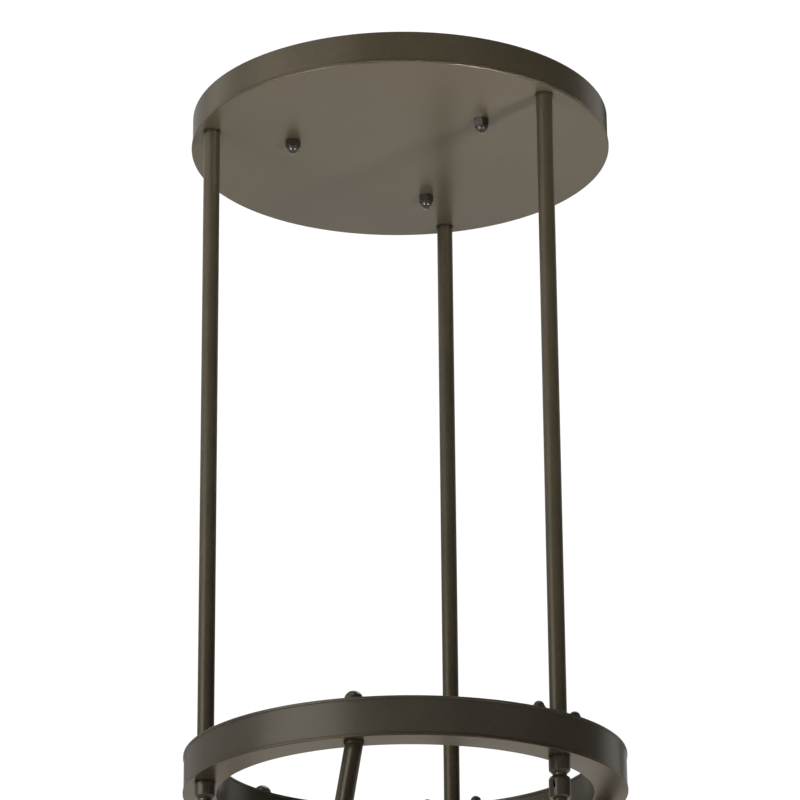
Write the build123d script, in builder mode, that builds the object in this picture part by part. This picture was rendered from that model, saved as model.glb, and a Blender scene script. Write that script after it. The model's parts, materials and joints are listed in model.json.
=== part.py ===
from build123d import *
import os
from math import cos, radians, sin

os.makedirs("parts", exist_ok=True)

# Six-light chandelier. The origin is the middle of the ceiling plane, +Z is up, sizes are in millimetres.

# Canopy pan against the ceiling
canopy_d = 406.4
canopy_depth = 31.8
canopy_plate_t = 3.0
canopy_rim_t = 2.0
canopy_rim_inset = 1.1
canopy_edge_round = 0.9

# Plate in the pan, screwed to the ceiling's outlet box
mounting_plate_d = 250.0
mounting_plate_t = 4.0
box_screw_spacing = 88.9
box_screw_hole_d = 5.2
wire_hole_d = 28.0
stud_edge = 17.0
stud_d = 7.9
stud_grip = 9.0

# Cap nuts: width across the flats, height of the hexagon, width of the dome
canopy_nut_flats = 12.7
canopy_nut_hex_h = 7.6
canopy_nut_dome_d = 12.2
foot_nut_flats = 11.1
foot_nut_hex_h = 5.4
foot_nut_dome_d = 10.2
arm_nut_d = 17.4
arm_nut_skirt_h = 1.4
nut_corner_chamfer = 0.9

# How far each canopy nut is turned when it is tight
canopy_nut_turn = {"back": -27.0, "left": 15.0, "right": -18.0}

# Rods between the canopy and the ring
rod_drop = 609.6
rod_inset = 14.7
rod_d = 15.5
rod_seat_d = 17.0
rod_seat_t = 2.0
nipple_d = 10.0
nipple_bore_d = 7.0
nipple_grip = 16.0
rod_nut_flats = 14.0
rod_nut_h = 6.0
thread_end = 2.0

# Box-section ring
ring_height = 36.0
ring_width = 31.0
ring_plate_t = 2.7
ring_lip = 0.7
ring_band_t = 2.0
ring_edge_round = 0.7

# Stiffening feet in the ring, under the rods
foot_length = 64.0
foot_width = 18.0
foot_t = 5.0
foot_corner_r = 2.5
foot_bolt_spread = 14.6
foot_bolt_d = 6.3
foot_bolt_head_d = 10.4
foot_bolt_head_h = 3.4
foot_bolt_grip = 7.0

# Swivels under the rods
coupling_d = 19.2
coupling_length = 15.9
coupling_chamfer = 2.8
coupling_grip = 8.0
neck_ring_d = 12.6
neck_ring_h = 1.9
swivel_bolt_d = 9.0
swivel_bolt_bore_d = 5.0
swivel_bolt_head_d = 12.8
swivel_bolt_head_h = 3.0
swivel_bolt_grip = 6.0
swivel_body_d = 19.8
swivel_body_h = 20.5
swivel_body_top_t = 4.2
swivel_shoulder_h = 4.4
swivel_foot_round = 2.0
swivel_cavity_d = 14.0
swivel_slot_w = 1.8
swivel_slot_h = 7.0
swivel_slot_drop = 5.4
swivel_slot_turn = 11.0
fork_d = 12.9
fork_spigot_h = 6.5
fork_below_pin = 8.0
fork_root_h = 5.2
fork_slot_w = 5.2
hinge_pin_d = 4.0
tongue_t = 4.8
tongue_w = 12.0
stem_gap = 2.2
stem_length = 130.0
stem_plug_h = 12.0

# Splayed arms under the ring
arm_splay = 30.0
arm_length = 210.0
arm_d = 16.1
arm_collar_d = 18.2
arm_collar_t = 3.0
arm_nut_grip = 7.0

# Lamp, measured down its axis from the end of its stem or arm
holder_d = 64.0
holder_h = 42.0
holder_side_h = 16.0
holder_crown_d = 22.0
holder_t = 1.5
lampholder_d = 38.0
lampholder_h = 54.0
lampholder_neck_h = 12.0
lampholder_shoulder_h = 11.0
lampholder_bore_h = 27.5
shade_top_edge = 2.0
shade_shoulder_r = 18.0
shade_mouth_d = 112.0
shade_h = 150.0
shade_t = 3.5
shade_hole_play = 0.6
shade_ring_step = 5.0
shade_ring_h = 6.0
bulb_d = 60.0
bulb_length = 105.0
bulb_cap_d = 26.0
bulb_cap_h = 27.0
bulb_neck_h = 6.0
bulb_t = 1.2

# Clearances: threads, holes that a piece passes through, parts that turn
thread_play = 0.05
hole_play = 0.3
turn_play = 0.05
face_play = 0.2

# Rods and pendants share three directions, the arms stand half way between them
first_rod_angle = 90.0
rod_step = 360 / 3
rod_places = {
    "back": first_rod_angle,
    "left": first_rod_angle + rod_step,
    "right": first_rod_angle + 2 * rod_step,
}
arm_places = {
    "left": rod_places["back"] + rod_step / 2,
    "front": rod_places["left"] + rod_step / 2,
    "right": rod_places["right"] + rod_step / 2,
}

# Heights and radii that follow from the sizes above
canopy_bottom_z = -canopy_depth
canopy_inside_z = canopy_bottom_z + canopy_plate_t
canopy_rim_d = canopy_d - 2 * canopy_rim_inset
stud_circle_d = mounting_plate_d - 2 * stud_edge
ring_top_z = canopy_bottom_z - rod_drop
ring_bottom_z = ring_top_z - ring_height
ring_inside_top_z = ring_top_z - ring_plate_t
ring_inside_bottom_z = ring_bottom_z + ring_plate_t
ring_mid_r = canopy_d / 2 - rod_inset
ring_d = 2 * ring_mid_r + ring_width
ring_inner_d = ring_d - 2 * ring_width
coupling_bottom_z = ring_bottom_z - coupling_length
swivel_top_z = coupling_bottom_z - neck_ring_h - face_play
swivel_bottom_z = swivel_top_z - swivel_body_h
fork_root_z = swivel_bottom_z - fork_root_h
pin_z = fork_root_z - tongue_w / 2 - face_play
stem_shoulder_z = pin_z - fork_below_pin - stem_gap
stem_end_z = stem_shoulder_z - stem_length
rod_bore_d = nipple_d + 2 * thread_play
nipple_hole_d = nipple_d + 2 * hole_play
shade_top_d = holder_d + 2 * shade_top_edge
shade_ring_d = holder_d - 2 * shade_ring_step


def upright(azimuth, radius, z):
    """Level plane at a place round the axis, its X pointing outwards."""
    outward = (cos(radians(azimuth)), sin(radians(azimuth)), 0)
    return Plane(origin=(radius * outward[0], radius * outward[1], z), x_dir=outward, z_dir=(0, 0, 1))


def hanging(azimuth, radius, z):
    """The same plane turned over, its Z pointing down."""
    seat = upright(azimuth, radius, z)
    return Plane(origin=seat.origin, x_dir=seat.x_dir, z_dir=(0, 0, -1))


def section(seat):
    """Plane through a seat's Z axis: X is the distance from that axis, Y runs along it."""
    return Plane(origin=seat.origin, x_dir=seat.x_dir, z_dir=seat.x_dir.cross(seat.z_dir))


def turn_round(seat):
    """Revolves the last section about its seat's Z axis."""
    revolve(axis=Axis(seat.origin, seat.z_dir))


def foot_bolt_azimuths():
    """Directions of the pair of bolts at every rod."""
    return [rod + side * foot_bolt_spread / 2 for rod in rod_places.values() for side in (-1, 1)]


def hinge_plane(azimuth):
    """Plane across the hinge pin, its Z along the pin, sideways to the ring, and its Y pointing down."""
    seat = upright(azimuth, ring_mid_r, pin_z)
    return Plane(origin=seat.origin, x_dir=seat.x_dir, z_dir=seat.y_dir)


def arm_seat(azimuth):
    """Plane at the top of an arm, its Z running down along the arm."""
    outward = upright(azimuth, 0, 0).x_dir
    down = Vector(0, 0, -1)
    along = outward * sin(radians(arm_splay)) + down * cos(radians(arm_splay))
    top = outward * ring_mid_r + Vector(0, 0, ring_bottom_z - arm_collar_t)
    return Plane(origin=top, x_dir=outward.cross(down), z_dir=along)


def arm_lamp_seats():
    """Planes at the lower ends of the arms, one for each lamp."""
    return [arm_seat(azimuth).offset(arm_length) for azimuth in arm_places.values()]


def finish(piece, label):
    """Names a piece and writes it."""
    piece.part.label = label
    export_step(piece.part, f"parts/{label}.step")


def tubes(label, seats, outer_d, bore_d, length):
    """Straight tubes, one on each seat, along its Z."""
    with BuildPart() as pieces:
        for seat in seats:
            with BuildSketch(seat):
                Circle(outer_d / 2)
                Circle(bore_d / 2, mode=Mode.SUBTRACT)
            extrude(amount=length)
    finish(pieces, label)


def cap_nut(flats, hex_h, dome_d, bore_d, bore_depth):
    """Hexagon cap nut standing on the XY plane, its corners chamfered and its bore closed by the dome."""
    corner_r = flats / 2 + nut_corner_chamfer
    with BuildPart() as nut:
        with BuildSketch():
            RegularPolygon(flats / 2, 6, major_radius=False)
        extrude(amount=hex_h)
        with BuildSketch(Plane.XZ):
            with BuildLine():
                Polyline(
                    (0, 0),
                    (flats / 2, 0),
                    (corner_r, nut_corner_chamfer),
                    (corner_r, hex_h - nut_corner_chamfer),
                    (flats / 2, hex_h),
                    (0, hex_h),
                    close=True,
                )
            make_face()
        revolve(axis=Axis.Z, mode=Mode.INTERSECT)
        with BuildSketch(Plane.XZ):
            with BuildLine():
                Line((0, hex_h), (dome_d / 2, hex_h))
                CenterArc((0, hex_h), dome_d / 2, 0, 90)
                Line((0, hex_h + dome_d / 2), (0, hex_h))
            make_face()
        revolve(axis=Axis.Z)
        with BuildSketch():
            Circle(bore_d / 2)
        extrude(amount=bore_depth, mode=Mode.SUBTRACT)
    return nut.part


def group(label, piece, seats):
    """Copies of one piece, one on each seat."""
    with BuildPart() as pieces:
        with Locations(*seats):
            add(piece)
    finish(pieces, label)


# Mounting plate: a hole for the wires, two for the outlet box's screws, three tapped for the studs
with BuildPart() as mounting_plate:
    with BuildSketch(Plane.XY.offset(-mounting_plate_t)):
        Circle(mounting_plate_d / 2)
        Circle(wire_hole_d / 2, mode=Mode.SUBTRACT)
        with GridLocations(box_screw_spacing, 0, 2, 1):
            Circle(box_screw_hole_d / 2, mode=Mode.SUBTRACT)
        with PolarLocations(stud_circle_d / 2, len(rod_places), start_angle=rod_places["back"]):
            Circle(stud_d / 2 + thread_play, mode=Mode.SUBTRACT)
    extrude(amount=mounting_plate_t)
finish(mounting_plate, "mounting_plate")

# Studs from the mounting plate down into the canopy's cap nuts
with BuildPart() as mounting_studs:
    with BuildSketch(Plane.XY.offset(canopy_bottom_z - stud_grip)):
        with PolarLocations(stud_circle_d / 2, len(rod_places), start_angle=rod_places["back"]):
            Circle(stud_d / 2)
    extrude(amount=canopy_depth + stud_grip)
finish(mounting_studs, "mounting_studs")

# Canopy: a round plate that carries the rods, and a rim that hides the gap to the ceiling
with BuildPart() as canopy_plate:
    with BuildSketch(Plane.XY.offset(canopy_bottom_z)):
        Circle(canopy_d / 2)
    extrude(amount=canopy_plate_t)
    rim_edges = canopy_plate.edges().filter_by(GeomType.CIRCLE)
    fillet(rim_edges, canopy_edge_round)
    with BuildSketch(Plane.XY.offset(canopy_bottom_z)):
        with PolarLocations(stud_circle_d / 2, len(rod_places), start_angle=rod_places["back"]):
            Circle(stud_d / 2 + hole_play)
        with PolarLocations(ring_mid_r, len(rod_places), start_angle=rod_places["back"]):
            Circle(nipple_hole_d / 2)
    extrude(amount=canopy_plate_t, mode=Mode.SUBTRACT)
finish(canopy_plate, "canopy_plate")

with BuildPart() as canopy_rim:
    with BuildSketch(Plane.XY.offset(canopy_inside_z)):
        Circle(canopy_rim_d / 2)
        Circle(canopy_rim_d / 2 - canopy_rim_t, mode=Mode.SUBTRACT)
    extrude(amount=-canopy_inside_z)
    lower_edge = canopy_rim.edges().group_by(Axis.Z)[0].sort_by(SortBy.RADIUS)[-1]
    fillet(lower_edge, canopy_edge_round)
finish(canopy_rim, "canopy_rim")

group(
    "canopy_cap_nuts",
    cap_nut(
        canopy_nut_flats,
        canopy_nut_hex_h,
        canopy_nut_dome_d,
        stud_d + 2 * thread_play,
        stud_grip + thread_end,
    ),
    [
        hanging(azimuth, stud_circle_d / 2, canopy_bottom_z).rotated((0, 0, -canopy_nut_turn[place]))
        for place, azimuth in rod_places.items()
    ],
)

# Rods: a hollow nipple and a nut hold each one to the canopy, against a thin seat washer
rod_top_z = canopy_bottom_z - rod_seat_t
tubes(
    "rod_seat_washers",
    [hanging(azimuth, ring_mid_r, canopy_bottom_z) for azimuth in rod_places.values()],
    rod_seat_d,
    nipple_hole_d,
    rod_seat_t,
)
tubes(
    "rod_top_nipples",
    [upright(azimuth, ring_mid_r, rod_top_z - nipple_grip) for azimuth in rod_places.values()],
    nipple_d,
    nipple_bore_d,
    nipple_grip + rod_seat_t + canopy_plate_t + rod_nut_h + thread_end,
)

with BuildPart() as rod_top_nuts:
    for azimuth in rod_places.values():
        with BuildSketch(upright(azimuth, ring_mid_r, canopy_inside_z)):
            RegularPolygon(rod_nut_flats / 2, 6, major_radius=False)
            Circle(rod_bore_d / 2, mode=Mode.SUBTRACT)
        extrude(amount=rod_nut_h)
finish(rod_top_nuts, "rod_top_nuts")

for place, azimuth in rod_places.items():
    seat = hanging(azimuth, ring_mid_r, rod_top_z)
    tubes(f"rod_{place}", [seat], rod_d, rod_bore_d, rod_drop - rod_seat_t)

# Ring: two flat plates whose edges stand a little proud of the bands between them
with BuildPart() as ring_top_plate:
    with BuildSketch(Plane.XY.offset(ring_inside_top_z)):
        Circle(ring_d / 2)
        Circle(ring_inner_d / 2, mode=Mode.SUBTRACT)
    extrude(amount=ring_plate_t)
    fillet(ring_top_plate.edges().filter_by(GeomType.CIRCLE), ring_edge_round)
    with BuildSketch(Plane.XY.offset(ring_inside_top_z)):
        with PolarLocations(ring_mid_r, len(rod_places), start_angle=rod_places["back"]):
            Circle(nipple_hole_d / 2)
        with PolarLocations(ring_mid_r, len(arm_places), start_angle=arm_places["right"]):
            Circle(nipple_hole_d / 2)
        for azimuth in foot_bolt_azimuths():
            with PolarLocations(ring_mid_r, 1, start_angle=azimuth):
                Circle(foot_bolt_d / 2 + hole_play)
    extrude(amount=ring_plate_t, mode=Mode.SUBTRACT)
finish(ring_top_plate, "ring_top_plate")

with BuildPart() as ring_bottom_plate:
    with BuildSketch(Plane.XY.offset(ring_bottom_z)):
        Circle(ring_d / 2)
        Circle(ring_inner_d / 2, mode=Mode.SUBTRACT)
    extrude(amount=ring_plate_t)
    fillet(ring_bottom_plate.edges().filter_by(GeomType.CIRCLE), ring_edge_round)
    with BuildSketch(Plane.XY.offset(ring_bottom_z)):
        with PolarLocations(ring_mid_r, len(rod_places), start_angle=rod_places["back"]):
            Circle(nipple_hole_d / 2)
        with PolarLocations(ring_mid_r, len(arm_places), start_angle=arm_places["right"]):
            Circle(nipple_hole_d / 2)
    extrude(amount=ring_plate_t, mode=Mode.SUBTRACT)
finish(ring_bottom_plate, "ring_bottom_plate")

band_seat = Plane.XY.offset(ring_inside_bottom_z)
band_height = ring_height - 2 * ring_plate_t
outer_band_d = ring_d - 2 * ring_lip
inner_band_d = ring_inner_d + 2 * ring_lip
tubes("ring_outer_band", [band_seat], outer_band_d, outer_band_d - 2 * ring_band_t, band_height)
tubes("ring_inner_band", [band_seat], inner_band_d + 2 * ring_band_t, inner_band_d, band_height)

# Feet that stiffen the ring's top plate under the rods, each held by two bolts and small cap nuts
with BuildPart() as rod_feet:
    for azimuth in rod_places.values():
        with BuildSketch(hanging(azimuth, ring_mid_r, ring_inside_top_z)):
            RectangleRounded(foot_width, foot_length, foot_corner_r)
            Circle(nipple_hole_d / 2, mode=Mode.SUBTRACT)
        extrude(amount=foot_t)
    for azimuth in foot_bolt_azimuths():
        with BuildSketch(hanging(azimuth, ring_mid_r, ring_inside_top_z)):
            Circle(foot_bolt_d / 2 + hole_play)
        extrude(amount=foot_t, mode=Mode.SUBTRACT)
finish(rod_feet, "rod_feet")

foot_bottom_z = ring_inside_top_z - foot_t
with BuildPart() as foot_bolts:
    for azimuth in foot_bolt_azimuths():
        with BuildSketch(hanging(azimuth, ring_mid_r, foot_bottom_z)):
            Circle(foot_bolt_head_d / 2)
        extrude(amount=foot_bolt_head_h)
        with BuildSketch(upright(azimuth, ring_mid_r, foot_bottom_z)):
            Circle(foot_bolt_d / 2)
        extrude(amount=foot_t + ring_plate_t + foot_bolt_grip)
finish(foot_bolts, "foot_bolts")

group(
    "foot_cap_nuts",
    cap_nut(
        foot_nut_flats,
        foot_nut_hex_h,
        foot_nut_dome_d,
        foot_bolt_d + 2 * thread_play,
        foot_bolt_grip + hole_play,
    ),
    [upright(azimuth, ring_mid_r, ring_top_z) for azimuth in foot_bolt_azimuths()],
)

# Nipples that pull rod and coupling together through the ring
tubes(
    "ring_nipples",
    [upright(azimuth, ring_mid_r, ring_bottom_z - coupling_grip) for azimuth in rod_places.values()],
    nipple_d,
    nipple_bore_d,
    coupling_grip + ring_height + nipple_grip,
)

# Couplings: the ring nipple screws in from above, the swivel bolt from below
with BuildPart() as couplings:
    for azimuth in rod_places.values():
        seat = hanging(azimuth, ring_mid_r, ring_bottom_z)
        upper_r = rod_bore_d / 2
        lower_r = swivel_bolt_d / 2 + thread_play
        with BuildSketch(section(seat)):
            with BuildLine():
                Polyline(
                    (upper_r, 0),
                    (coupling_d / 2, 0),
                    (coupling_d / 2, coupling_length - coupling_chamfer),
                    (coupling_d / 2 - coupling_chamfer, coupling_length),
                    (lower_r, coupling_length),
                    (lower_r, coupling_grip + face_play),
                    (upper_r, coupling_grip + face_play),
                    close=True,
                )
            make_face()
        turn_round(seat)
finish(couplings, "couplings")

tubes(
    "neck_rings",
    [hanging(azimuth, ring_mid_r, coupling_bottom_z) for azimuth in rod_places.values()],
    neck_ring_d,
    swivel_bolt_d + 2 * hole_play,
    neck_ring_h,
)

# Hollow bolts: the swivel body turns on the shank and hangs on the head
bolt_head_z = swivel_top_z - swivel_body_top_t - face_play
with BuildPart() as swivel_bolts:
    for azimuth in rod_places.values():
        seat = hanging(azimuth, ring_mid_r, coupling_bottom_z + swivel_bolt_grip)
        shank_h = seat.origin.Z - bolt_head_z
        with BuildSketch(section(seat)):
            with BuildLine():
                Polyline(
                    (swivel_bolt_bore_d / 2, 0),
                    (swivel_bolt_d / 2, 0),
                    (swivel_bolt_d / 2, shank_h),
                    (swivel_bolt_head_d / 2, shank_h),
                    (swivel_bolt_head_d / 2, shank_h + swivel_bolt_head_h),
                    (swivel_bolt_bore_d / 2, shank_h + swivel_bolt_head_h),
                    close=True,
                )
            make_face()
        turn_round(seat)
finish(swivel_bolts, "swivel_bolts")


def swivel_body(place, azimuth):
    """Round body with a soft shoulder, hollow for the bolt's head and the fork, with a slot in its side."""
    seat = hanging(azimuth, ring_mid_r, swivel_top_z)
    outer_r = swivel_body_d / 2
    bore_r = swivel_bolt_d / 2 + turn_play
    cavity_r = swivel_cavity_d / 2
    with BuildPart() as body:
        with BuildSketch(section(seat)):
            with BuildLine():
                Line((bore_r, 0), (neck_ring_d / 2, 0))
                TangentArc((outer_r, swivel_shoulder_h), (neck_ring_d / 2, 0), tangent=(0, -1))
                Line((outer_r, swivel_shoulder_h), (outer_r, swivel_body_h - swivel_foot_round))
                RadiusArc(
                    (outer_r, swivel_body_h - swivel_foot_round),
                    (outer_r - swivel_foot_round, swivel_body_h),
                    -swivel_foot_round,
                )
                Line((outer_r - swivel_foot_round, swivel_body_h), (cavity_r, swivel_body_h))
                Line((cavity_r, swivel_body_h), (cavity_r, swivel_body_top_t))
                Line((cavity_r, swivel_body_top_t), (bore_r, swivel_body_top_t))
                Line((bore_r, swivel_body_top_t), (bore_r, 0))
            make_face()
        turn_round(seat)
        middle = upright(azimuth, ring_mid_r, swivel_top_z - swivel_slot_drop - swivel_slot_h / 2)
        side = middle.rotated((0, 0, swivel_slot_turn))
        with BuildSketch(Plane(origin=side.origin, x_dir=(0, 0, 1), z_dir=-side.y_dir)):
            SlotOverall(swivel_slot_h, swivel_slot_w)
        extrude(amount=outer_r, mode=Mode.SUBTRACT)
    finish(body, f"swivel_body_{place}")


def swivel_fork(place, azimuth):
    """Fork that screws into the swivel body, its slot across the hinge pin."""
    seat = hanging(azimuth, ring_mid_r, swivel_bottom_z)
    fork_h = swivel_bottom_z - pin_z + fork_below_pin
    with BuildPart() as fork:
        with BuildSketch(seat):
            Circle(fork_d / 2)
        extrude(amount=fork_h)
        with BuildSketch(seat):
            Circle(swivel_cavity_d / 2 - thread_play)
        extrude(amount=-fork_spigot_h)
        with BuildSketch(seat.offset(fork_root_h)):
            Rectangle(fork_d, fork_slot_w)
        extrude(amount=fork_h - fork_root_h, mode=Mode.SUBTRACT)
        with BuildSketch(hinge_plane(azimuth)):
            Circle(hinge_pin_d / 2 + thread_play)
        extrude(amount=fork_d / 2, both=True, mode=Mode.SUBTRACT)
        with BuildSketch(seat):
            Circle(swivel_bolt_bore_d / 2)
        extrude(amount=-fork_spigot_h, mode=Mode.SUBTRACT)
    finish(fork, f"swivel_fork_{place}")


def swivel_pin(place, azimuth):
    """Hinge pin, its ends just inside the fork's round sides."""
    with BuildPart() as pin:
        with BuildSketch(hinge_plane(azimuth)):
            Circle(hinge_pin_d / 2)
        extrude(amount=fork_d / 2 - face_play, both=True)
        with BuildSketch(hanging(azimuth, ring_mid_r, pin_z)):
            Circle(fork_d / 2)
        extrude(amount=fork_d, both=True, mode=Mode.INTERSECT)
    finish(pin, f"swivel_pin_{place}")


def pendant_stem(place, azimuth):
    """Hollow stem whose closed top is cut to a tongue that turns on the hinge pin."""
    seat = hanging(azimuth, ring_mid_r, stem_shoulder_z)
    with BuildPart() as stem:
        with BuildSketch(hinge_plane(azimuth)):
            Circle(tongue_w / 2)
            with Locations((0, (pin_z - stem_shoulder_z) / 2)):
                Rectangle(tongue_w, pin_z - stem_shoulder_z)
            Circle(hinge_pin_d / 2 + turn_play, mode=Mode.SUBTRACT)
        extrude(amount=tongue_t / 2, both=True)
        with BuildSketch(seat):
            Circle(fork_d / 2)
        extrude(amount=stem_length)
        with BuildSketch(seat.offset(stem_plug_h)):
            Circle(rod_bore_d / 2)
        extrude(amount=stem_length - stem_plug_h, mode=Mode.SUBTRACT)
    finish(stem, f"pendant_stem_{place}")


for place, azimuth in rod_places.items():
    swivel_body(place, azimuth)
    swivel_fork(place, azimuth)
    swivel_pin(place, azimuth)
    pendant_stem(place, azimuth)

# Splayed arms: a hollow stud through the ring, a round dome nut on top, a collar and the arm below
tubes(
    "arm_studs",
    [upright(azimuth, ring_mid_r, ring_bottom_z - arm_collar_t) for azimuth in arm_places.values()],
    nipple_d,
    nipple_bore_d,
    arm_collar_t + ring_height + arm_nut_grip,
)
tubes(
    "arm_collars",
    [hanging(azimuth, ring_mid_r, ring_bottom_z) for azimuth in arm_places.values()],
    arm_collar_d,
    rod_bore_d,
    arm_collar_t,
)

with BuildPart() as arm_dome_nut:
    with BuildSketch(Plane.XZ):
        with BuildLine():
            Polyline((0, arm_nut_skirt_h), (0, 0), (arm_nut_d / 2, 0), (arm_nut_d / 2, arm_nut_skirt_h))
            CenterArc((0, arm_nut_skirt_h), arm_nut_d / 2, 0, 90)
            Line((0, arm_nut_skirt_h + arm_nut_d / 2), (0, arm_nut_skirt_h))
        make_face()
    revolve(axis=Axis.Z)
    with BuildSketch():
        Circle(rod_bore_d / 2)
    extrude(amount=arm_nut_grip + face_play, mode=Mode.SUBTRACT)
group(
    "arm_dome_nuts",
    arm_dome_nut.part,
    [upright(azimuth, ring_mid_r, ring_top_z) for azimuth in arm_places.values()],
)

for place, azimuth in arm_places.items():
    seat = arm_seat(azimuth)
    with BuildPart() as arm:
        with BuildSketch(seat.offset(-arm_d)):
            Circle(arm_d / 2)
            Circle(rod_bore_d / 2, mode=Mode.SUBTRACT)
        extrude(amount=arm_length + arm_d)
        split(bisect_by=Plane(seat.origin), keep=Keep.BOTTOM)
    finish(arm, f"arm_{place}")


def shade_holders(label, seats):
    """Spun cup over the lampholder, its rim on the glass."""
    hole_r = nipple_hole_d / 2
    crown_r = holder_crown_d / 2
    side_y = holder_h - holder_side_h
    with BuildPart() as holders:
        for seat in seats:
            with BuildSketch(section(seat)):
                with BuildLine():
                    Line((hole_r, 0), (crown_r, 0))
                    TangentArc((holder_d / 2, side_y), (crown_r, 0), tangent=(0, -1))
                    Line((holder_d / 2, side_y), (holder_d / 2, holder_h))
                    Line((holder_d / 2, holder_h), (holder_d / 2 - holder_t, holder_h))
                    Line((holder_d / 2 - holder_t, holder_h), (holder_d / 2 - holder_t, side_y))
                    TangentArc((holder_d / 2 - holder_t, side_y), (crown_r, holder_t), tangent=(0, -1))
                    Line((crown_r, holder_t), (hole_r, holder_t))
                    Line((hole_r, holder_t), (hole_r, 0))
                make_face()
            turn_round(seat)
    finish(holders, label)


def lampholders(label, seats):
    """Lampholder: its neck screws into the stem and clamps the cup, its bore takes the bulb's cap."""
    neck_r = nipple_d / 2
    wire_r = swivel_bolt_bore_d / 2
    bore_r = bulb_cap_d / 2 + hole_play
    bore_y = lampholder_h - lampholder_bore_h
    with BuildPart() as holders:
        for seat in seats:
            with BuildSketch(section(seat)):
                with BuildLine():
                    Polyline(
                        (wire_r, -lampholder_neck_h),
                        (neck_r, -lampholder_neck_h),
                        (neck_r, holder_t),
                        (holder_crown_d / 2 - holder_t, holder_t),
                        (lampholder_d / 2, holder_t + lampholder_shoulder_h),
                        (lampholder_d / 2, lampholder_h),
                        (bore_r, lampholder_h),
                        (bore_r, bore_y),
                        (wire_r, bore_y),
                        close=True,
                    )
                make_face()
            turn_round(seat)
    finish(holders, label)


def shade_rings(label, seats):
    """Threaded rings on the lampholders, which press the glass up against the cups."""
    top = holder_h + shade_t
    tubes(
        label,
        [seat.offset(top) for seat in seats],
        shade_ring_d,
        lampholder_d + 2 * thread_play,
        shade_ring_h,
    )


def glass_shades(label, seats):
    """Blown glass: flat top with a hole, round shoulder, and a wall that opens towards the rounded mouth."""
    hole_r = lampholder_d / 2 + shade_hole_play
    top_r = shade_top_d / 2
    wall_r = top_r + shade_shoulder_r
    mouth_r = shade_mouth_d / 2
    top_y = holder_h
    wall_y = top_y + shade_shoulder_r
    mouth_y = top_y + shade_h
    rim_y = mouth_y - shade_t / 2
    with BuildPart() as shades:
        for seat in seats:
            with BuildSketch(section(seat)):
                with BuildLine():
                    Line((hole_r, top_y), (top_r, top_y))
                    CenterArc((top_r, wall_y), shade_shoulder_r, -90, 90)
                    TangentArc((wall_r, wall_y), (mouth_r, rim_y), tangent=(0, 1))
                    lip = (mouth_r - shade_t / 2, mouth_y)
                    ThreePointArc((mouth_r, rim_y), lip, (mouth_r - shade_t, rim_y))
                    TangentArc((wall_r - shade_t, wall_y), (mouth_r - shade_t, rim_y), tangent=(0, 1))
                    CenterArc((top_r, wall_y), shade_shoulder_r - shade_t, -90, 90)
                    Line((top_r, top_y + shade_t), (hole_r, top_y + shade_t))
                    Line((hole_r, top_y + shade_t), (hole_r, top_y))
                make_face()
            turn_round(seat)
    finish(shades, label)


def bulb_outline(inset):
    """Side of a bulb from its open cap end to its tip, drawn in by the inset."""
    cap_r = bulb_cap_d / 2 - inset
    bulb_r = bulb_d / 2 - inset
    cap_y = lampholder_h - lampholder_bore_h + hole_play
    neck_y = cap_y + bulb_cap_h + bulb_neck_h
    middle_y = cap_y + bulb_length - bulb_d / 2
    half_way = ((cap_r + bulb_r) / 2, (neck_y + middle_y) / 2)
    Line((cap_r, cap_y), (cap_r, neck_y))
    swell = TangentArc((cap_r, neck_y), half_way, tangent=(0, 1))
    TangentArc(half_way, (bulb_r, middle_y), tangent=swell % 1)
    CenterArc((0, middle_y), bulb_r, 0, 90)
    return Vector(cap_r, cap_y), Vector(0, middle_y + bulb_r)


def bulbs(label, seats):
    """Thin hollow bulbs, their caps in the lampholders."""
    with BuildPart() as lamps:
        for seat in seats:
            with BuildSketch(section(seat)):
                with BuildLine():
                    outer_cap, outer_tip = bulb_outline(0)
                    inner_cap, inner_tip = bulb_outline(bulb_t)
                    Line(outer_cap, inner_cap)
                    Line(outer_tip, inner_tip)
                make_face()
            turn_round(seat)
    finish(lamps, label)


# One lamp on every pendant, and three more on the arms
for place, azimuth in rod_places.items():
    lamp_seat = [hanging(azimuth, ring_mid_r, stem_end_z)]
    shade_holders(f"shade_holder_{place}", lamp_seat)
    lampholders(f"lampholder_{place}", lamp_seat)
    shade_rings(f"shade_ring_{place}", lamp_seat)
    glass_shades(f"glass_shade_{place}", lamp_seat)
    bulbs(f"bulb_{place}", lamp_seat)

shade_holders("arm_shade_holders", arm_lamp_seats())
lampholders("arm_lampholders", arm_lamp_seats())
shade_rings("arm_shade_rings", arm_lamp_seats())
glass_shades("arm_glass_shades", arm_lamp_seats())
bulbs("arm_bulbs", arm_lamp_seats())
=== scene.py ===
import bpy
import bmesh
import json
from math import cos, pi, radians, sin
from mathutils import Matrix, Vector


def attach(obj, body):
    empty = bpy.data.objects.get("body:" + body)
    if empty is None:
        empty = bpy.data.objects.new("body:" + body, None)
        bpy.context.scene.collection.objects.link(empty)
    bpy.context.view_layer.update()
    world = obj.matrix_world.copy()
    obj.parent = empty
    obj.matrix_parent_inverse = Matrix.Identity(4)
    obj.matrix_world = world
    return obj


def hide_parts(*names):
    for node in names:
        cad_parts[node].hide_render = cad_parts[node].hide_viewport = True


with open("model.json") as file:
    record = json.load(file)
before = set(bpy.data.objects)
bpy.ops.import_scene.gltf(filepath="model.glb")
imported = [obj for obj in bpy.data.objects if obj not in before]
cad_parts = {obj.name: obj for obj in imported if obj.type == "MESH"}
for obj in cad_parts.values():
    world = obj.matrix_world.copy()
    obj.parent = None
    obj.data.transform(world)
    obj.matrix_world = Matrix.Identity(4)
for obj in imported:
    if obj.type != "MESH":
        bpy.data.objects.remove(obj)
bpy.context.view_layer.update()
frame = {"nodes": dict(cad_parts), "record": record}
scene = bpy.context.scene
nodes = frame["nodes"]
print("frame loaded:", len(nodes), "nodes")


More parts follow.
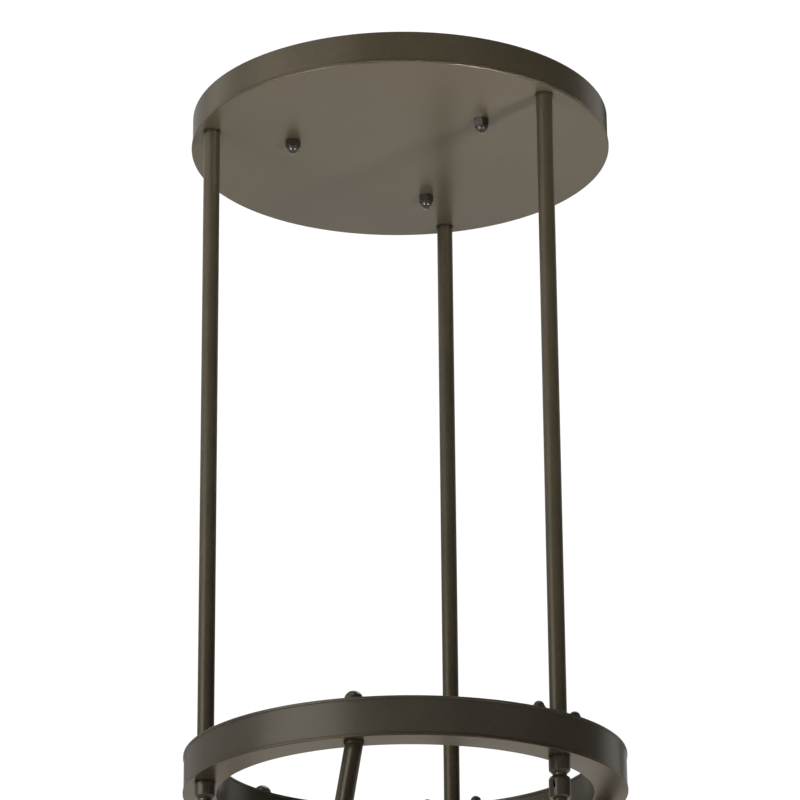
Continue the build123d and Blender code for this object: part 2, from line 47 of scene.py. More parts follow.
# camera, under the light and a little to its right, looking up
photoCamera = {
    "lens": 173.75, "sensor": 36, "farthest": 100,
    "place": (0.8148, -3.3364, -1.5954), "heading": 13.76, "pitch": 20.82, "roll": -0.465,
}
levelTurn = 90 # a camera that isn't turned looks straight down

def setCamera():
    data = bpy.data.cameras.new("photoCamera")
    data.lens = photoCamera["lens"]
    data.sensor_width = photoCamera["sensor"]
    data.clip_end = photoCamera["farthest"]
    camera = bpy.data.objects.new("photoCamera", data)
    scene.collection.objects.link(camera)
    turn = Matrix.Rotation(radians(photoCamera["heading"]), 4, "Z")
    turn = turn @ Matrix.Rotation(radians(levelTurn + photoCamera["pitch"]), 4, "X")
    turn = turn @ Matrix.Rotation(radians(photoCamera["roll"]), 4, "Z")
    camera.matrix_world = Matrix.Translation(photoCamera["place"]) @ turn
    scene.camera = camera

setCamera()
print("camera set")


# studio: white surround, pale floor, soft boxes hung round the middle of the light
studio = {
    "surround": 0.004, "surroundColor": (1, 0.99, 0.97, 1), "backdrop": 1.05, "backdropColor": (1, 1, 1, 1),
    "middle": (0, 0, -0.4), "reach": 3.2,
    "spotReach": 2.4, "spotSpread": 28, "spotAim": (0, 0, -0.02),
    "glowAim": (0.2, -0.24, -0.03), "glowSpread": 12,
}
floor = {
    "depth": -2.5, "size": 120, "color": (0.88, 0.85, 0.81), "rough": 0.7,
    "fadeFrom": 18, "fadeTo": 58, "fade": 0.3, "fadeColor": (1, 1, 1, 1),
}
floorSun = {"power": 2.9, "angle": 70}

# side is the compass angle from +X, height the angle above the level
softBoxes = [
    {"name": "leftLow", "side": 232, "height": 4, "size": (3.2, 1.5), "power": 50},
    {"name": "leftHigh", "side": 232, "height": 30, "size": (3.2, 1.6), "power": 17},
    {"name": "sideLow", "side": 190, "height": 4, "size": (3.2, 1.5), "power": 6.6},
    {"name": "sideHigh", "side": 190, "height": 30, "size": (3.2, 1.6), "power": 12},
    {"name": "leftBackLow", "side": 148, "height": 4, "size": (3.2, 1.5), "power": 5.3},
    {"name": "leftBackHigh", "side": 148, "height": 30, "size": (3.2, 1.6), "power": 6.8},
    {"name": "backWall", "side": 100, "height": 3, "size": (3.2, 1.5), "power": 10},
    {"name": "rightBackLow", "side": 55, "height": 4, "size": (1.6, 1.4), "power": 4.4},
    {"name": "rightBackHigh", "side": 55, "height": 30, "size": (1.6, 1.6), "power": 4.2},
    {"name": "frontTop", "side": 240, "height": 62, "size": (1.8, 1.8), "power": 32},
    {"name": "backTop", "side": 80, "height": 58, "size": (2.4, 1.8), "power": 50},
    {"name": "rightFront", "side": 288, "height": 6, "size": (3.2, 1.2), "power": 5},
    {"name": "right", "side": 336, "height": 5, "size": (2.4, 1.2), "power": 1.6},
]
# two narrow lights from below, aimed at the canopy
canopySpots = [
    {"name": "spotLeft", "side": 240, "height": -24, "size": (0.6, 0.6), "power": 1.6},
    {"name": "spotRight", "side": 326, "height": -24, "size": (0.6, 0.6), "power": 1.6},
]
# and two that light only the canopy's plate, brighter towards its front right
canopyGlow = [
    {"name": "glowLeft", "side": 240, "height": -24, "size": (0.5, 0.5), "power": 0.4},
    {"name": "glowRight", "side": 326, "height": -24, "size": (0.5, 0.5), "power": 1.3},
]

def litSurround():
    world = bpy.data.worlds.new("studio")
    scene.world = world
    world.use_nodes = True
    tree = world.node_tree
    tree.nodes.clear()
    out = tree.nodes.new("ShaderNodeOutputWorld")
    mix = tree.nodes.new("ShaderNodeMixShader")
    path = tree.nodes.new("ShaderNodeLightPath")
    dim = tree.nodes.new("ShaderNodeBackground")
    white = tree.nodes.new("ShaderNodeBackground")
    dim.inputs["Color"].default_value = studio["surroundColor"]
    dim.inputs["Strength"].default_value = studio["surround"]
    white.inputs["Color"].default_value = studio["backdropColor"]
    white.inputs["Strength"].default_value = studio["backdrop"]
    # white where it is looked at, also through glass, and dim where it would light the part
    either = tree.nodes.new("ShaderNodeMath")
    either.operation = "MAXIMUM"
    tree.links.new(path.outputs["Is Camera Ray"], either.inputs[0])
    tree.links.new(path.outputs["Is Transmission Ray"], either.inputs[1])
    tree.links.new(either.outputs[0], mix.inputs["Fac"])
    tree.links.new(dim.outputs[0], mix.inputs[1])
    tree.links.new(white.outputs[0], mix.inputs[2])
    tree.links.new(mix.outputs[0], out.inputs["Surface"])

def addLight(box, reach, aim):
    side, height = radians(box["side"]), radians(box["height"])
    away = Vector((cos(height) * cos(side), cos(height) * sin(side), sin(height)))
    place = Vector(studio["middle"]) + away * reach
    data = bpy.data.lights.new(box["name"], "AREA")
    data.shape = "ELLIPSE"
    data.size, data.size_y = box["size"]
    data.energy = box["power"]
    light = bpy.data.objects.new(box["name"], data)
    light.location = place
    light.rotation_euler = (Vector(aim) - place).to_track_quat("-Z", "Y").to_euler()
    light.visible_camera = False
    scene.collection.objects.link(light)
    return light

def hangBoxes():
    hung = [addLight(box, studio["reach"], studio["middle"]) for box in softBoxes]
    for box in canopySpots:
        spot = addLight(box, studio["spotReach"], studio["spotAim"])
        spot.data.spread = radians(studio["spotSpread"])
        hung.append(spot)
    return hung

def glowUnderCanopy(plate):
    lit = bpy.data.collections.new("litByGlow")
    lit.objects.link(plate)
    for box in canopyGlow:
        glow = addLight(box, studio["spotReach"], studio["glowAim"])
        glow.data.spread = radians(studio["glowSpread"])
        glow.light_linking.receiver_collection = lit

def paleFloor():
    pale = bpy.data.materials.new("paleFloor")
    pale.use_nodes = True
    tree = pale.node_tree
    shader = tree.nodes["Principled BSDF"]
    shader.inputs["Base Color"].default_value = (*floor["color"], 1)
    shader.inputs["Roughness"].default_value = floor["rough"]
    # far off, the floor fades into the white surround
    spot = tree.nodes.new("ShaderNodeTexCoord")
    far = tree.nodes.new("ShaderNodeVectorMath")
    far.operation = "LENGTH"
    fade = tree.nodes.new("ShaderNodeMapRange")
    fade.interpolation_type = "SMOOTHSTEP"
    fade.inputs["From Min"].default_value = floor["fadeFrom"]
    fade.inputs["From Max"].default_value = floor["fadeTo"]
    fade.inputs["To Max"].default_value = floor["fade"]
    tree.links.new(spot.outputs["Object"], far.inputs[0])
    tree.links.new(far.outputs["Value"], fade.inputs["Value"])
    tree.links.new(fade.outputs["Result"], shader.inputs["Emission Strength"])
    shader.inputs["Emission Color"].default_value = floor["fadeColor"]
    return pale

def layFloor(boxes):
    half = floor["size"] / 2
    corners = [(-half, -half, 0), (half, -half, 0), (half, half, 0), (-half, half, 0)]
    mesh = bpy.data.meshes.new("floor")
    mesh.from_pydata(corners, [], [(0, 1, 2, 3)])
    mesh.materials.append(paleFloor())
    ground = bpy.data.objects.new("floor", mesh)
    ground.location.z = floor["depth"]
    scene.collection.objects.link(ground)
    # a soft sun that lights the floor alone
    data = bpy.data.lights.new("floorSun", "SUN")
    data.energy = floorSun["power"]
    data.angle = radians(floorSun["angle"])
    sun = bpy.data.objects.new("floorSun", data)
    scene.collection.objects.link(sun)
    lit = bpy.data.collections.new("litByFloorSun")
    lit.objects.link(ground)
    sun.light_linking.receiver_collection = lit
    # and the soft boxes light everything but the floor
    unlit = bpy.data.collections.new("notLitByBoxes")
    unlit.objects.link(ground)
    unlit.collection_objects[0].light_linking.link_state = "EXCLUDE"
    for light in boxes:
        light.light_linking.receiver_collection = unlit

litSurround()
layFloor(hangBoxes())
scene.view_settings.view_transform = "Standard"
print("studio lit:", len(softBoxes), "soft boxes,", len(canopySpots), "spots and a floor sun")


# finishes: a noise is given as scale, detail and sometimes roughness, a bump as strength and depth
def newFinish(name):
    made = bpy.data.materials.new(name)
    made.use_nodes = True
    tree = made.node_tree
    return made, tree, tree.nodes["Principled BSDF"]

def noiseAt(tree, scale, detail, rough=0.5):
    place = tree.nodes.new("ShaderNodeTexCoord")
    noise = tree.nodes.new("ShaderNodeTexNoise")
    noise.inputs["Scale"].default_value = scale
    noise.inputs["Detail"].default_value = detail
    noise.inputs["Roughness"].default_value = rough
    tree.links.new(place.outputs["Object"], noise.inputs["Vector"])
    return noise.outputs["Fac"]

def spread(tree, value, low, high, fromLow=0.3, fromHigh=0.7):
    ranged = tree.nodes.new("ShaderNodeMapRange")
    ranged.inputs["From Min"].default_value = fromLow
    ranged.inputs["From Max"].default_value = fromHigh
    ranged.inputs["To Min"].default_value = low
    ranged.inputs["To Max"].default_value = high
    tree.links.new(value, ranged.inputs["Value"])
    return ranged.outputs["Result"]

def twoColors(tree, value, colorA, colorB):
    mix = tree.nodes.new("ShaderNodeMix")
    mix.data_type = "RGBA"
    mix.inputs["A"].default_value = (*colorA, 1)
    mix.inputs["B"].default_value = (*colorB, 1)
    tree.links.new(value, mix.inputs["Factor"])
    return mix.outputs["Result"]

def addUp(tree, first, second):
    total = tree.nodes.new("ShaderNodeMath")
    total.operation = "ADD"
    tree.links.new(first, total.inputs[0])
    tree.links.new(second, total.inputs[1])
    return total.outputs[0]

def paint(tree, shader, color, rough):
    tree.links.new(color, shader.inputs["Base Color"])
    tree.links.new(rough, shader.inputs["Roughness"])

def grainBump(tree, shader, value, strength, distance):
    bump = tree.nodes.new("ShaderNodeBump")
    bump.inputs["Strength"].default_value = strength
    bump.inputs["Distance"].default_value = distance
    tree.links.new(value, bump.inputs["Height"])
    tree.links.new(bump.outputs["Normal"], shader.inputs["Normal"])

# painted shade in seams and round the foot of each nut: how far the occlusion looks and how dark it gets
seam = {"reach": 0.004, "samples": 6, "dark": 0.12, "openFrom": 0.45, "openTo": 0.95}

def paintedSeamShade(tree, color):
    # painted shade: ambient occlusion darkens the colour in seams, under lips and round the foot of each nut, where
    # shade falls
    near = tree.nodes.new("ShaderNodeAmbientOcclusion")
    near.samples = seam["samples"]
    near.inputs["Distance"].default_value = seam["reach"]
    shut = spread(tree, near.outputs["AO"], seam["dark"], 1, seam["openFrom"], seam["openTo"])
    darker = tree.nodes.new("ShaderNodeVectorMath")
    darker.operation = "SCALE"
    tree.links.new(color, darker.inputs[0])
    tree.links.new(shut, darker.inputs["Scale"])
    return darker.outputs["Vector"]

bronze = {
    "dark": (0.038, 0.0318, 0.0204), "light": (0.0503, 0.0415, 0.0265), "sheen": (1, 0.91, 0.83),
    "metallic": 0.3, "rough": (0.282, 0.33), "specular": 0.18, "lacquer": 0.06,
}
# finely turned pieces are glossier
turnedBronze = {
    "dark": (0.033, 0.0285, 0.0205), "light": (0.043, 0.037, 0.027), "sheen": (1, 0.92, 0.84),
    "metallic": 0.4, "rough": (0.282, 0.31), "specular": 0.28, "lacquer": 0.12,
}
# the ring's sides are a little greyer than canopy and rods; its underside gets a darker, browner copy of the same
# bronze, painted shade and a painted warm floor reflection on the downward face
ringBronze = {
    **bronze,
    "dark": (0.0384, 0.0335, 0.0243), "light": (0.0508, 0.0438, 0.0316), "sheen": (1, 0.93, 0.87),
}
shadedUnderBronze = {
    **bronze,
    "dark": (0.0375, 0.0303, 0.0182), "light": (0.0490, 0.0393, 0.0236), "sheen": (1, 0.88, 0.72),
}
satinGrain = {
    "cloud": (14, 2), "cloudShare": 0.55, "grain": (280, 1), "grainShare": 0.45,
    "bump": (0.02, 0.0001), "lacquerRough": 0.18,
}

def satinBronze(name, metal):
    made, tree, shader = newFinish(name)
    cloud = noiseAt(tree, *satinGrain["cloud"])
    grain = noiseAt(tree, *satinGrain["grain"])
    clouded = spread(tree, cloud, 0, satinGrain["cloudShare"])
    grained = spread(tree, grain, 0, satinGrain["grainShare"])
    color = twoColors(tree, addUp(tree, clouded, grained), metal["dark"], metal["light"])
    # the base colour carries painted shade in seams and round the foot of each nut
    paint(tree, shader, paintedSeamShade(tree, color), spread(tree, cloud, *metal["rough"]))
    shader.inputs["Metallic"].default_value = metal["metallic"]
    shader.inputs["Specular IOR Level"].default_value = metal["specular"]
    shader.inputs["Specular Tint"].default_value = (*metal["sheen"], 1)
    shader.inputs["Coat Weight"].default_value = metal["lacquer"]
    shader.inputs["Coat Roughness"].default_value = satinGrain["lacquerRough"]
    grainBump(tree, shader, grain, *satinGrain["bump"])
    return made

nutBronze = {
    "dark": (0.012, 0.010, 0.007), "light": (0.020, 0.0165, 0.012), "metallic": 0.2, "rough": (0.12, 0.18),
    "cloud": (260, 3), "grain": (1400, 1), "bump": (0.04, 0.0001),
}

def glossBronze():
    made, tree, shader = newFinish("glossBronze")
    cloud = noiseAt(tree, *nutBronze["cloud"])
    color = twoColors(tree, spread(tree, cloud, 0, 1), nutBronze["dark"], nutBronze["light"])
    paint(tree, shader, color, spread(tree, cloud, *nutBronze["rough"]))
    shader.inputs["Metallic"].default_value = nutBronze["metallic"]
    grainBump(tree, shader, noiseAt(tree, *nutBronze["grain"]), *nutBronze["bump"])
    return made

brass = {"dull": (0.16, 0.102, 0.046), "bright": (0.30, 0.20, 0.095), "rough": (0.42, 0.29)}
neckBrass = {"dull": (0.085, 0.056, 0.034), "bright": (0.15, 0.098, 0.060), "rough": (0.42, 0.3)}
brassGrain = {"patina": (140, 4, 0.6), "patinaSpan": (0.35, 0.65), "fine": (1500, 1), "bump": (0.08, 0.0001)}

def agedBrass(name, metal):
    made, tree, shader = newFinish(name)
    patina = noiseAt(tree, *brassGrain["patina"])
    worn = spread(tree, patina, 0, 1, *brassGrain["patinaSpan"])
    color = twoColors(tree, worn, metal["dull"], metal["bright"])
    paint(tree, shader, color, spread(tree, patina, *metal["rough"]))
    shader.inputs["Metallic"].default_value = 1
    grainBump(tree, shader, noiseAt(tree, *brassGrain["fine"]), *brassGrain["bump"])
    return made

zinc = {
    "dull": (0.36, 0.37, 0.38), "bright": (0.58, 0.58, 0.56), "rough": (0.29, 0.45), "metallic": 0.75,
    "spangle": 160, "flakeShare": 0.35, "haze": (60, 4), "hazeShare": 0.6, "bump": (0.05, 0.0002),
}

def zincSteel():
    made, tree, shader = newFinish("zincSteel")
    spangle = tree.nodes.new("ShaderNodeTexVoronoi")
    place = tree.nodes.new("ShaderNodeTexCoord")
    spangle.inputs["Scale"].default_value = zinc["spangle"]
    tree.links.new(place.outputs["Object"], spangle.inputs["Vector"])
    flake = tree.nodes.new("ShaderNodeSeparateColor")
    tree.links.new(spangle.outputs["Color"], flake.inputs["Color"])
    haze = noiseAt(tree, *zinc["haze"])
    flaked = spread(tree, flake.outputs[0], 0, zinc["flakeShare"], 0, 1)
    hazed = spread(tree, haze, 0, zinc["hazeShare"])
    color = twoColors(tree, addUp(tree, flaked, hazed), zinc["dull"], zinc["bright"])
    paint(tree, shader, color, spread(tree, haze, *zinc["rough"]))
    shader.inputs["Metallic"].default_value = zinc["metallic"]
    grainBump(tree, shader, haze, *zinc["bump"])
    return made

phenolic = {
    "dark": (0.012, 0.011, 0.010), "light": (0.030, 0.027, 0.024), "rough": (0.3, 0.45),
    "flow": (90, 5, 0.65), "fine": (1200, 1), "bump": (0.08, 0.0001),
}

def blackPhenolic():
    made, tree, shader = newFinish("blackPhenolic")
    flow = noiseAt(tree, *phenolic["flow"])
    color = twoColors(tree, spread(tree, flow, 0, 1), phenolic["dark"], phenolic["light"])
    paint(tree, shader, color, spread(tree, flow, *phenolic["rough"]))
    grainBump(tree, shader, noiseAt(tree, *phenolic["fine"]), *phenolic["bump"])
    return made

shadeGlass = {
    "tint": (0.93, 0.945, 0.935), "ior": 1.5, "rough": (0.0, 0.03), "swell": (45, 2),
    "seeds": (420, 1), "seedHeight": 0.25, "seedSpan": (0.68, 0.8), "bump": (0.25, 0.0006),
}

def blownGlass():
    made, tree, shader = newFinish("blownGlass")
    swell = noiseAt(tree, *shadeGlass["swell"])
    seeds = noiseAt(tree, *shadeGlass["seeds"])
    raised = spread(tree, seeds, 0, shadeGlass["seedHeight"], *shadeGlass["seedSpan"])
    shader.inputs["Base Color"].default_value = (*shadeGlass["tint"], 1)
    tree.links.new(spread(tree, swell, *shadeGlass["rough"]), shader.inputs["Roughness"])
    shader.inputs["IOR"].default_value = shadeGlass["ior"]
    shader.inputs["Transmission Weight"].default_value = 1
    grainBump(tree, shader, addUp(tree, swell, raised), *shadeGlass["bump"])
    return made

bulbGlass = {
    "thin": (0.93, 0.92, 0.89), "thick": (0.87, 0.86, 0.82), "rough": (0.29, 0.42), "ior": 1.45, "clear": 0.35,
    "frost": (70, 4), "etch": (1600, 1), "bump": (0.06, 0.0001),
}

def frostedGlass():
    made, tree, shader = newFinish("frostedGlass")
    frost = noiseAt(tree, *bulbGlass["frost"])
    color = twoColors(tree, spread(tree, frost, 0, 1), bulbGlass["thin"], bulbGlass["thick"])
    paint(tree, shader, color, spread(tree, frost, *bulbGlass["rough"]))
    shader.inputs["IOR"].default_value = bulbGlass["ior"]
    shader.inputs["Transmission Weight"].default_value = bulbGlass["clear"]
    grainBump(tree, shader, noiseAt(tree, *bulbGlass["etch"]), *bulbGlass["bump"])
    return made

finishes = {
    "bronze": satinBronze("satinBronze", bronze),
    "steel": zincSteel(),
    "brass": agedBrass("agedBrass", brass),
    "lampholder": blackPhenolic(),
    "shade_glass": blownGlass(),
    "bulb_glass": frostedGlass(),
}
# the underside finish is the bronze with painted shade and a painted warm reflection, not a different metal
ringFinishes = {"side": satinBronze("ringBronze", ringBronze), "under": satinBronze("shadedUnderBronze", shadedUnderBronze)}
ownFinishes = {"canopy_cap_nuts": glossBronze(), "neck_rings": agedBrass("tarnishedBrass", neckBrass)}
fineBronze = satinBronze("turnedBronze", turnedBronze)
for name in ["couplings", "swivel_body_back", "swivel_body_left", "swivel_body_right"]:
    ownFinishes[name] = fineBronze
for item in frame["record"]["subparts"]:
    node = nodes[item["node"]]
    node.data.materials.clear()
    node.data.materials.append(ownFinishes.get(item["node"], finishes[item["material_slot"]]))
print("finishes given to", len(nodes), "nodes")


# lamp places: a lamp hangs from each stem, and one sits on the end of each slanted arm
lampPlaces = {"ringMiddle": 0.1885, "stemEnd": -0.8675, "armTop": -0.6804, "armLength": 0.21, "armSplay": 30}
rodAngles = {"back": 90, "left": 210, "right": 330}
armAngles = {"left": 150, "front": 270, "right": 30}

def outward(angle):
    return Vector((cos(radians(angle)), sin(radians(angle)), 0))

def seatMatrix(origin, down):
    # local Z runs down the lamp, away from its stem or arm
    turn = Vector((0, 0, 1)).rotation_difference(down).to_matrix().to_4x4()
    return Matrix.Translation(origin) @ turn

def lampSeats():
    seats = []
    for place, angle in rodAngles.items():
        origin = outward(angle) * lampPlaces["ringMiddle"] + Vector((0, 0, lampPlaces["stemEnd"]))
        seats.append({"name": place, "body": "pendant_" + place, "suffix": "_" + place, "prefix": "", "plural": "",
                      "seat": seatMatrix(origin, Vector((0, 0, -1)))})
    splay = radians(lampPlaces["armSplay"])
    for place, angle in armAngles.items():
        down = outward(angle) * sin(splay) - Vector((0, 0, cos(splay)))
        top = outward(angle) * lampPlaces["ringMiddle"] + Vector((0, 0, lampPlaces["armTop"]))
        seats.append({"name": "arm_" + place, "body": "frame", "suffix": "", "prefix": "arm_", "plural": "s",
                      "seat": seatMatrix(top + down * lampPlaces["armLength"], down)})
    return seats

def nodeOf(lamp, kind):
    return lamp["prefix"] + kind + lamp["plural"] + lamp["suffix"]


# turned pieces: a closed outline of (radius, depth) points turned round the seat's Z
onAxis = 1e-6 # a smaller radius is a point on the axis
sharpAngle = 38

def roundCorner(middle, radius, start, end, steps):
    points = []
    for step in range(steps + 1):
        angle = radians(start + (end - start) * step / steps)
        points.append((middle[0] + radius * cos(angle), middle[1] + radius * sin(angle)))
    return points

def turned(name, outline, seat, finish, steps, wobble=None):
    mesh = bpy.data.meshes.new(name)
    work = bmesh.new()
    loops = []
    for radius, depth in outline:
        if radius < onAxis:
            loops.append([work.verts.new((0, 0, depth))] * steps)
            continue
        loop = []
        for step in range(steps):
            angle = 2 * pi * step / steps
            wide = radius + (wobble(angle, depth) if wobble else 0)
            loop.append(work.verts.new((wide * cos(angle), wide * sin(angle), depth)))
        loops.append(loop)
    for upper, lower in zip(loops, loops[1:] + loops[:1]):
        for step in range(steps):
            after = (step + 1) % steps
            corners = []
            for vert in (upper[step], upper[after], lower[after], lower[step]):
                if vert not in corners:
                    corners.append(vert)
            if len(corners) > 2:
                work.faces.new(corners)
    bmesh.ops.recalc_face_normals(work, faces=work.faces)
    work.to_mesh(mesh)
    work.free()
    mesh.shade_smooth()
    mesh.set_sharp_from_angle(angle=radians(sharpAngle))
    mesh.materials.append(finish)
    mesh.transform(seat)
    piece = bpy.data.objects.new(name, mesh)
    scene.collection.objects.link(piece)
    return piece

def fitPiece(piece, lamp, node):
    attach(piece, lamp["body"])
    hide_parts(node)


# canopy and ring: spun finely, so that the seams along their lips run clean
spin = {"steps": 360, "cornerSteps": 6, "levelFrom": 0.999}
canopy = {
    "plateLow": -0.0318, "plateHigh": -0.0288, "plateOuter": 0.2032, "edge": 0.0009,
    "rimInner": 0.2001, "rimOuter": 0.2021, "studsOut": 0.108,
}
ring = {
    "high": -0.6414, "bandHigh": -0.6441, "bandLow": -0.6747, "low": -0.6774, "inner": 0.173, "outer": 0.204,
    "lip": 0.0007, "outerBand": (0.2013, 0.2033), "innerBand": (0.1737, 0.1757), "boltsAside": 7.3,
}
drill = {
    "stud": 0.00425, "nipple": 0.0053, "bolt": 0.00345, "sides": 48, "length": 0.02, "turn": 1.7, "weld": 0.00002,
}

rodSpots = list(rodAngles.values())
armSpots = list(armAngles.values())
boltSpots = [angle + side for angle in rodSpots for side in (-ring["boltsAside"], ring["boltsAside"])]
ringMiddle = lampPlaces["ringMiddle"]
square = (0, 0, 0, 0)
lipped = (ring["lip"],) * 4

# edges are the roundings: low inside, low outside, high outside, high inside
# holes are (distance from the middle, radius, angles)
spunPieces = [
    {"name": "canopyPlate", "node": "canopy_plate", "finish": finishes["bronze"],
     "inner": 0, "outer": canopy["plateOuter"], "low": canopy["plateLow"], "high": canopy["plateHigh"],
     "edges": (0, canopy["edge"], canopy["edge"], 0),
     "holes": [(canopy["studsOut"], drill["stud"], rodSpots), (ringMiddle, drill["nipple"], rodSpots)]},
    {"name": "canopyRim", "node": "canopy_rim", "finish": finishes["bronze"],
     "inner": canopy["rimInner"], "outer": canopy["rimOuter"], "low": canopy["plateHigh"], "high": 0,
     "edges": (0, canopy["edge"], 0, 0), "holes": []},
    {"name": "ringTop", "node": "ring_top_plate", "finish": ringFinishes["side"],
     "inner": ring["inner"], "outer": ring["outer"], "low": ring["bandHigh"], "high": ring["high"],
     "edges": lipped,
     "holes": [(ringMiddle, drill["nipple"], rodSpots + armSpots), (ringMiddle, drill["bolt"], boltSpots)]},
    {"name": "ringBottom", "node": "ring_bottom_plate", "finish": ringFinishes["under"],
     "inner": ring["inner"], "outer": ring["outer"], "low": ring["low"], "high": ring["bandLow"],
     "edges": lipped, "holes": [(ringMiddle, drill["nipple"], rodSpots + armSpots)]},
    {"name": "ringOuterBand", "node": "ring_outer_band", "finish": ringFinishes["side"],
     "inner": ring["outerBand"][0], "outer": ring["outerBand"][1], "low": ring["bandLow"], "high": ring["bandHigh"],
     "edges": square, "holes": []},
    {"name": "ringInnerBand", "node": "ring_inner_band", "finish": ringFinishes["side"],
     "inner": ring["innerBand"][0], "outer": ring["innerBand"][1], "low": ring["bandLow"], "high": ring["bandHigh"],
     "edges": square, "holes": []},
]

def spunOutline(spun):
    corners = [(spun["inner"], spun["low"], 1, 1, 180), (spun["outer"], spun["low"], -1, 1, 270),
               (spun["outer"], spun["high"], -1, -1, 0), (spun["inner"], spun["high"], 1, -1, 90)]
    points = []
    for (radius, level, inward, up, start), edge in zip(corners, spun["edges"]):
        if edge:
            middle = (radius + inward * edge, level + up * edge)
            points += roundCorner(middle, edge, start, start + 90, spin["cornerSteps"])
        else:
            points.append((radius, level))
    return points

def drillBits(spun):
    # turned a little, so that no side of a bit lies on an edge of the piece
    turn = Matrix.Rotation(radians(drill["turn"]), 4, "Z")
    middle = Vector((0, 0, (spun["low"] + spun["high"]) / 2))
    work = bmesh.new()
    for away, radius, angles in spun["holes"]:
        for angle in angles:
            place = Matrix.Translation(outward(angle) * away + middle) @ turn
            bmesh.ops.create_cone(work, cap_ends=True, segments=drill["sides"], radius1=radius, radius2=radius,
                                  depth=drill["length"], matrix=place)
    mesh = bpy.data.meshes.new("drill")
    work.to_mesh(mesh)
    work.free()
    bits = bpy.data.objects.new("drill", mesh)
    scene.collection.objects.link(bits)
    return bits

def drillHoles(piece, spun):
    bits = drillBits(spun)
    cut = piece.modifiers.new("holes", "BOOLEAN")
    cut.operation = "DIFFERENCE"
    cut.solver = "EXACT"
    cut.object = bits
    drilled = bpy.data.meshes.new_from_object(piece.evaluated_get(bpy.context.evaluated_depsgraph_get()))
    piece.modifiers.clear()
    piece.data = drilled
    bpy.data.objects.remove(bits)
    # slivers along the cuts are welded away
    work = bmesh.new()
    work.from_mesh(drilled)
    bmesh.ops.remove_doubles(work, verts=work.verts, dist=drill["weld"])
    bmesh.ops.dissolve_degenerate(work, edges=work.edges, dist=drill["weld"])
    work.to_mesh(drilled)
    work.free()
    drilled.set_sharp_from_angle(angle=radians(sharpAngle))

def spinFrame():
    made = {}
    for spun in spunPieces:
        piece = turned(spun["name"], spunOutline(spun), Matrix.Identity(4), spun["finish"], spin["steps"])
        if spun["holes"]:
            drillHoles(piece, spun)
        for face in piece.data.polygons:
            face.use_smooth = abs(face.normal.z) < spin["levelFrom"] # level faces stay flat
        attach(piece, "frame")
        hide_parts(spun["node"])
        made[spun["name"]] = piece
    print("canopy and ring spun:", len(made))
    return made

glowUnderCanopy(spinFrame()["canopyPlate"])


# shades: blown glass, open below, a little uneven
shade = {
    "hole": 0.0196, "top": 0.034, "topDepth": 0.042, "shoulder": 0.018, "wall": 0.0035,
    "flare": 0.004, "mouthDepth": 0.192, "steps": 128, "shoulderSteps": 12, "flareSteps": 15, "lipSteps": 8,
    "uneven": 0.00025, "waves": (2, 3), "secondWave": 0.5, "twist": 30, "phase": 1.3,
}

def shadeOutline():
    lip = shade["wall"] / 2
    shoulderEnd = shade["topDepth"] + shade["shoulder"]
    rimDepth = shade["mouthDepth"] - lip
    corner = (shade["top"], shoulderEnd)
    outer = roundCorner(corner, shade["shoulder"], -90, 0, shade["shoulderSteps"])
    inner = roundCorner(corner, shade["shoulder"] - shade["wall"], 0, -90, shade["shoulderSteps"])
    wide = shade["top"] + shade["shoulder"]
    flare = []
    for step in range(1, shade["flareSteps"]):
        share = step / shade["flareSteps"]
        flare.append((wide + shade["flare"] * share ** 2, shoulderEnd + (rimDepth - shoulderEnd) * share))
    mouth = roundCorner((wide + shade["flare"] - lip, rimDepth), lip, 0, 180, shade["lipSteps"])
    back = [(radius - shade["wall"], depth) for radius, depth in reversed(flare)]
    holeTop = (shade["hole"], shade["topDepth"])
    holeUnder = (shade["hole"], shade["topDepth"] + shade["wall"])
    return [holeTop] + outer + flare + mouth + back + inner + [holeUnder]

def blownWobble(phase):
    first, second = shade["waves"]
    def wobble(angle, depth):
        share = min(1, max(0, (depth - shade["topDepth"]) / (shade["mouthDepth"] - shade["topDepth"])))
        twisted = second * angle - 2 * phase + shade["twist"] * depth
        wave = sin(first * angle + phase) + shade["secondWave"] * sin(twisted)
        return shade["uneven"] * share * wave
    return wobble

def hangShades(lamps):
    for count, lamp in enumerate(lamps):
        piece = turned("glassShade_" + lamp["name"], shadeOutline(), lamp["seat"], finishes["shade_glass"],
                       shade["steps"], blownWobble(shade["phase"] * count))
        fitPiece(piece, lamp, nodeOf(lamp, "glass_shade"))
    print("glass shades hung:", len(lamps))


# bulbs: frosted glass on a screw cap
bulb = {
    "capRadius": 0.013, "capTop": 0.0268, "capGap": 0.0008, "capEnd": 0.0538, "capWall": 0.0022, "capSteps": 48,
    "threads": 6, "threadDepth": 0.0006, "threadSteps": 8,
    "neckEnd": 0.0598, "radius": 0.03, "middle": 0.1018, "glass": 0.0012,
    "steps": 72, "sideSteps": 16, "endSteps": 16,
}

def bulbSide(inset):
    small, large = bulb["capRadius"] - inset, bulb["radius"] - inset
    points = [(small, bulb["capEnd"]), (small, bulb["neckEnd"])]
    for step in range(1, bulb["sideSteps"] + 1):
        share = step / bulb["sideSteps"]
        ease = share * share * (3 - 2 * share)
        depth = bulb["neckEnd"] + (bulb["middle"] - bulb["neckEnd"]) * share
        points.append((small + (large - small) * ease, depth))
    points += roundCorner((0, bulb["middle"]), large, 0, 90, bulb["endSteps"])[1:-1]
    return points + [(0, bulb["middle"] + large)]

def capOutline():
    points = []
    top = bulb["capTop"] + bulb["capGap"]
    steps = bulb["threads"] * bulb["threadSteps"]
    for step in range(steps + 1):
        wave = 0.5 - 0.5 * cos(2 * pi * step / bulb["threadSteps"])
        depth = top + (bulb["capEnd"] - bulb["capTop"] - bulb["capGap"]) * step / steps
        points.append((bulb["capRadius"] - bulb["threadDepth"] * wave, depth))
    inside = bulb["capRadius"] - bulb["capWall"]
    return points + [(inside, bulb["capEnd"]), (inside, top)]

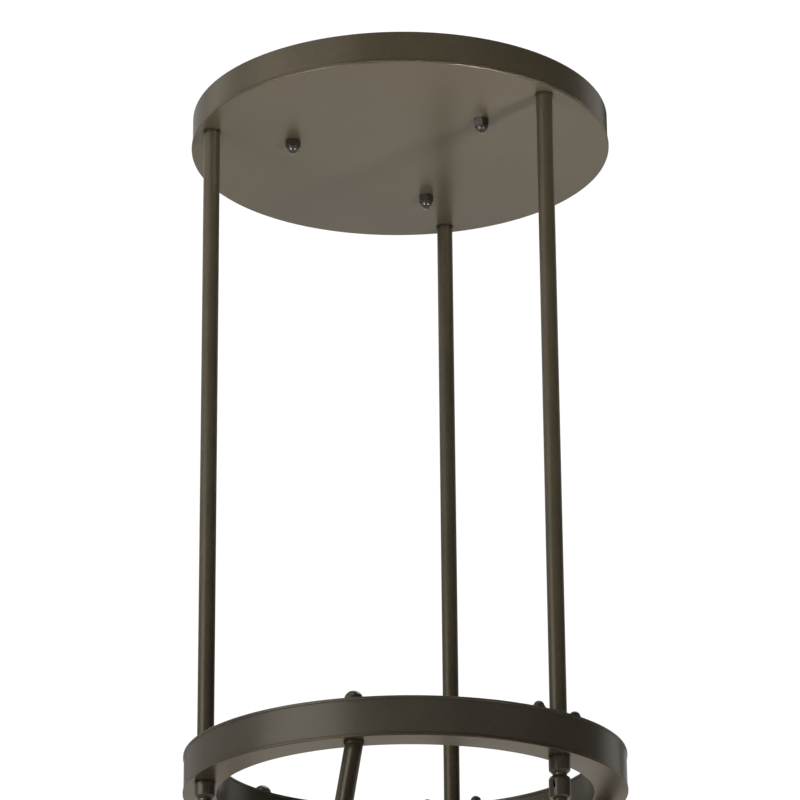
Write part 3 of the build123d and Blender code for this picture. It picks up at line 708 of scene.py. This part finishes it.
def fitBulbs(lamps):
    for lamp in lamps:
        node = nodeOf(lamp, "bulb")
        sides = bulbSide(0) + list(reversed(bulbSide(bulb["glass"])))
        globe = turned("bulbGlobe_" + lamp["name"], sides, lamp["seat"], finishes["bulb_glass"], bulb["steps"])
        cap = turned("bulbCap_" + lamp["name"], capOutline(), lamp["seat"], finishes["brass"], bulb["capSteps"])
        fitPiece(globe, lamp, node)
        fitPiece(cap, lamp, node)
    print("bulbs fitted:", len(lamps))


# lampholders: moulded, with finger grooves below the shoulder
holder = {
    "neck": 0.005, "neckTop": -0.012, "wire": 0.0025, "seat": 0.0015, "crown": 0.0095, "radius": 0.019,
    "shoulderEnd": 0.0125, "shoulderCut": 0.001, "shoulderDrop": 0.0006,
    "grooves": 4, "grooveDepth": 0.0008, "grooveWidth": 0.0022, "firstGroove": 0.016, "grooveSteps": 8,
    "end": 0.054, "edge": 0.0008, "edgeSteps": 5, "bore": 0.0133, "boreTop": 0.0265, "steps": 72,
}

def holderOutline():
    wide, edge = holder["radius"], holder["edge"]
    points = [(holder["wire"], holder["neckTop"]), (holder["neck"], holder["neckTop"]),
              (holder["neck"], holder["seat"]), (holder["crown"], holder["seat"]),
              (wide - holder["shoulderCut"], holder["shoulderEnd"] - holder["shoulderCut"]),
              (wide, holder["shoulderEnd"] + holder["shoulderDrop"])]
    for groove in range(holder["grooves"]):
        middle = holder["firstGroove"] + groove * 2 * holder["grooveWidth"] + holder["grooveWidth"] / 2
        for step in range(holder["grooveSteps"] + 1):
            share = step / holder["grooveSteps"]
            dip = holder["grooveDepth"] * sin(pi * share)
            points.append((wide - dip, middle + holder["grooveWidth"] * (share - 0.5)))
    points += roundCorner((wide - edge, holder["end"] - edge), edge, 0, 90, holder["edgeSteps"])
    points += roundCorner((holder["bore"] + edge, holder["end"] - edge), edge, 90, 180, holder["edgeSteps"])
    return points + [(holder["bore"], holder["boreTop"]), (holder["wire"], holder["boreTop"])]

def fitLampholders(lamps):
    for lamp in lamps:
        piece = turned("lampholder_" + lamp["name"] + "_moulded", holderOutline(), lamp["seat"],
                       finishes["lampholder"], holder["steps"])
        fitPiece(piece, lamp, nodeOf(lamp, "lampholder"))
    print("lampholders fitted:", len(lamps))

lamps = lampSeats()
hangShades(lamps)
fitBulbs(lamps)
fitLampholders(lamps)
